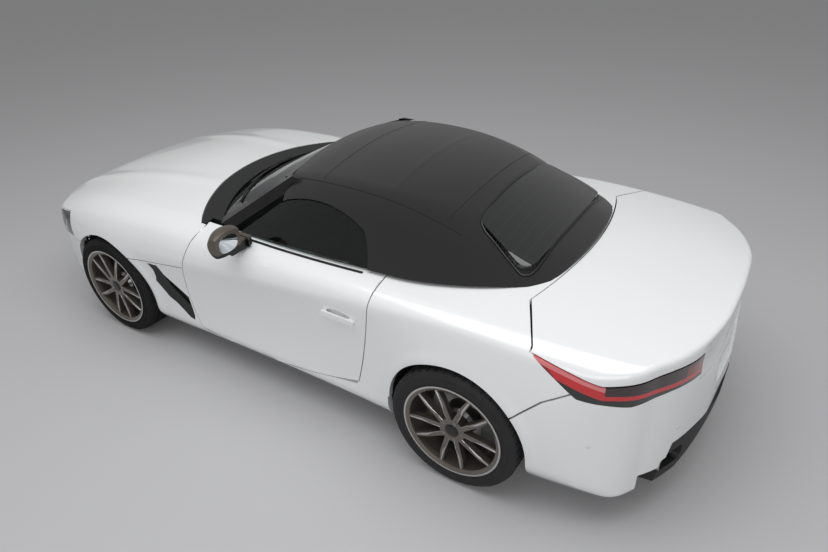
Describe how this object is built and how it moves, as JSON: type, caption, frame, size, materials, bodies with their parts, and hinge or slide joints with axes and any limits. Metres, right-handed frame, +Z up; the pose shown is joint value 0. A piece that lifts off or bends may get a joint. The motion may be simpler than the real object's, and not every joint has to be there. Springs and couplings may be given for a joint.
{
  "type": "two-seat roadster",
  "caption": "Low two-seat roadster with closed fabric roof, long clamshell bonnet, short boot, opening doors and turning road wheels.",
  "frame": {"origin": "on the ground at the middle of the overall length and width", "axes": "+X forward, +Y to the driver's left, +Z up"},
  "size_m": [4.324, 2.02, 1.304],
  "materials": {
    "body_paint": "gloss clear-coated solid white",
    "black_plastic": "grained moulding",
    "gloss_black": "gloss black",
    "mirror_cap": "grey bronze satin",
    "lamp_smoke": "smoked clear lens",
    "lamp_red": "smoked red lens",
    "roof_fabric": "woven acrylic roof cloth",
    "glass": "tinted safety glass",
    "dark_glass": "dark tinted heated glass",
    "chassis": "black dipped primer",
    "liner": "felted polymer",
    "engine_iron": "plain block",
    "exhaust_steel": "satin stainless steel",
    "cabin_plastic": "soft-touch black",
    "seat_leather": "black leather",
    "wheel_leather": "black leather",
    "cast_knuckle": "bare casting",
    "tyre_rubber": "black rubber",
    "rim_alloy": "dark alloy with turned edges",
    "disc_iron": "machined"
  },
  "bodies": {
    "body": {"wing_left": "body_paint", "wing_right": "body_paint", "sills": "body_paint", "quarter_left": "body_paint", "quarter_right": "body_paint", "rear_bumper": "body_paint", "front_bumper": "body_paint", "cowl": "black_plastic", "rear_deck": "black_plastic", "diffuser": "black_plastic", "side_vents": "black_plastic", "grille": "gloss_black", "headlamps": "lamp_smoke", "tail_lamps": "lamp_red", "soft_top": "roof_fabric", "windscreen_frame": "gloss_black", "windscreen_glass": "glass", "rear_glass": "dark_glass", "floor_pan": "chassis", "boot_tub": "chassis", "wheel_liners": "liner", "engine": "engine_iron", "exhaust": "exhaust_steel", "dashboard": "cabin_plastic", "console": "cabin_plastic", "seat_left": "seat_leather", "seat_right": "seat_leather", "roll_hoops": "gloss_black", "steering_column": "cabin_plastic", "rear_knuckles": "cast_knuckle", "front_suspension": "chassis", "rear_suspension": "chassis"},
    "bonnet": {"bonnet": "body_paint"},
    "boot_lid": {"boot_lid": "body_paint"},
    "door_left": {"door_left": "body_paint", "door_glass_left": "glass", "mirror_left": "mirror_cap"},
    "door_right": {"door_right": "body_paint", "door_glass_right": "glass", "mirror_right": "mirror_cap"},
    "knuckle_left": {"knuckle_left": "cast_knuckle"},
    "knuckle_right": {"knuckle_right": "cast_knuckle"},
    "steering_wheel": {"steering_wheel": "wheel_leather"},
    "wheel_front_left": {"tyre_front_left": "tyre_rubber", "rim_front_left": "rim_alloy", "disc_front_left": "disc_iron"},
    "wheel_front_right": {"tyre_front_right": "tyre_rubber", "rim_front_right": "rim_alloy", "disc_front_right": "disc_iron"},
    "wheel_rear_left": {"tyre_rear_left": "tyre_rubber", "rim_rear_left": "rim_alloy", "disc_rear_left": "disc_iron"},
    "wheel_rear_right": {"tyre_rear_right": "tyre_rubber", "rim_rear_right": "rim_alloy", "disc_rear_right": "disc_iron"}
  },
  "joints": [
    {"name": "bonnet_lift", "type": "hinge", "parent": "body", "child": "bonnet", "pos_m": [0.522, 0, 0.962], "axis": [0, -1, 0], "range_deg": [0, 48]},
    {"name": "boot_lid_lift", "type": "hinge", "parent": "body", "child": "boot_lid", "pos_m": [-1.356, 0, 0.998], "axis": [0, 1, 0], "range_deg": [0, 70]},
    {"name": "door_left_swing", "type": "hinge", "parent": "body", "child": "door_left", "pos_m": [0.632, 0.905, 0.6], "axis": [0, 0, -1], "range_deg": [0, 62]},
    {"name": "door_right_swing", "type": "hinge", "parent": "body", "child": "door_right", "pos_m": [0.632, -0.905, 0.6], "axis": [0, 0, 1], "range_deg": [0, 62]},
    {"name": "steer_left", "type": "hinge", "parent": "body", "child": "knuckle_left", "pos_m": [1.322, 0.77, 0.3305], "axis": [0, 0, 1], "range_deg": [-32, 32]},
    {"name": "steer_right", "type": "hinge", "parent": "body", "child": "knuckle_right", "pos_m": [1.322, -0.77, 0.3305], "axis": [0, 0, 1], "range_deg": [-32, 32]},
    {"name": "steering_wheel_turn", "type": "hinge", "parent": "body", "child": "steering_wheel", "pos_m": [0.02, 0.37, 0.735], "axis": [-0.9135, 0, 0.4067], "range_deg": [-450, 450]},
    {"name": "wheel_front_left_spin", "type": "hinge", "parent": "knuckle_left", "child": "wheel_front_left", "pos_m": [1.322, 0.797, 0.3305], "axis": [0, 1, 0], "continuous": true},
    {"name": "wheel_front_right_spin", "type": "hinge", "parent": "knuckle_right", "child": "wheel_front_right", "pos_m": [1.322, -0.797, 0.3305], "axis": [0, 1, 0], "continuous": true},
    {"name": "wheel_rear_left_spin", "type": "hinge", "parent": "body", "child": "wheel_rear_left", "pos_m": [-1.148, 0.7945, 0.3375], "axis": [0, 1, 0], "continuous": true},
    {"name": "wheel_rear_right_spin", "type": "hinge", "parent": "body", "child": "wheel_rear_right", "pos_m": [-1.148, -0.7945, 0.3375], "axis": [0, 1, 0], "continuous": true}
  ],
  "couplings": [
    {"joint": "steer_right", "follows": "steer_left", "ratio": 1},
    {"joint": "steering_wheel_turn", "follows": "steer_left", "ratio": 14}
  ]
}
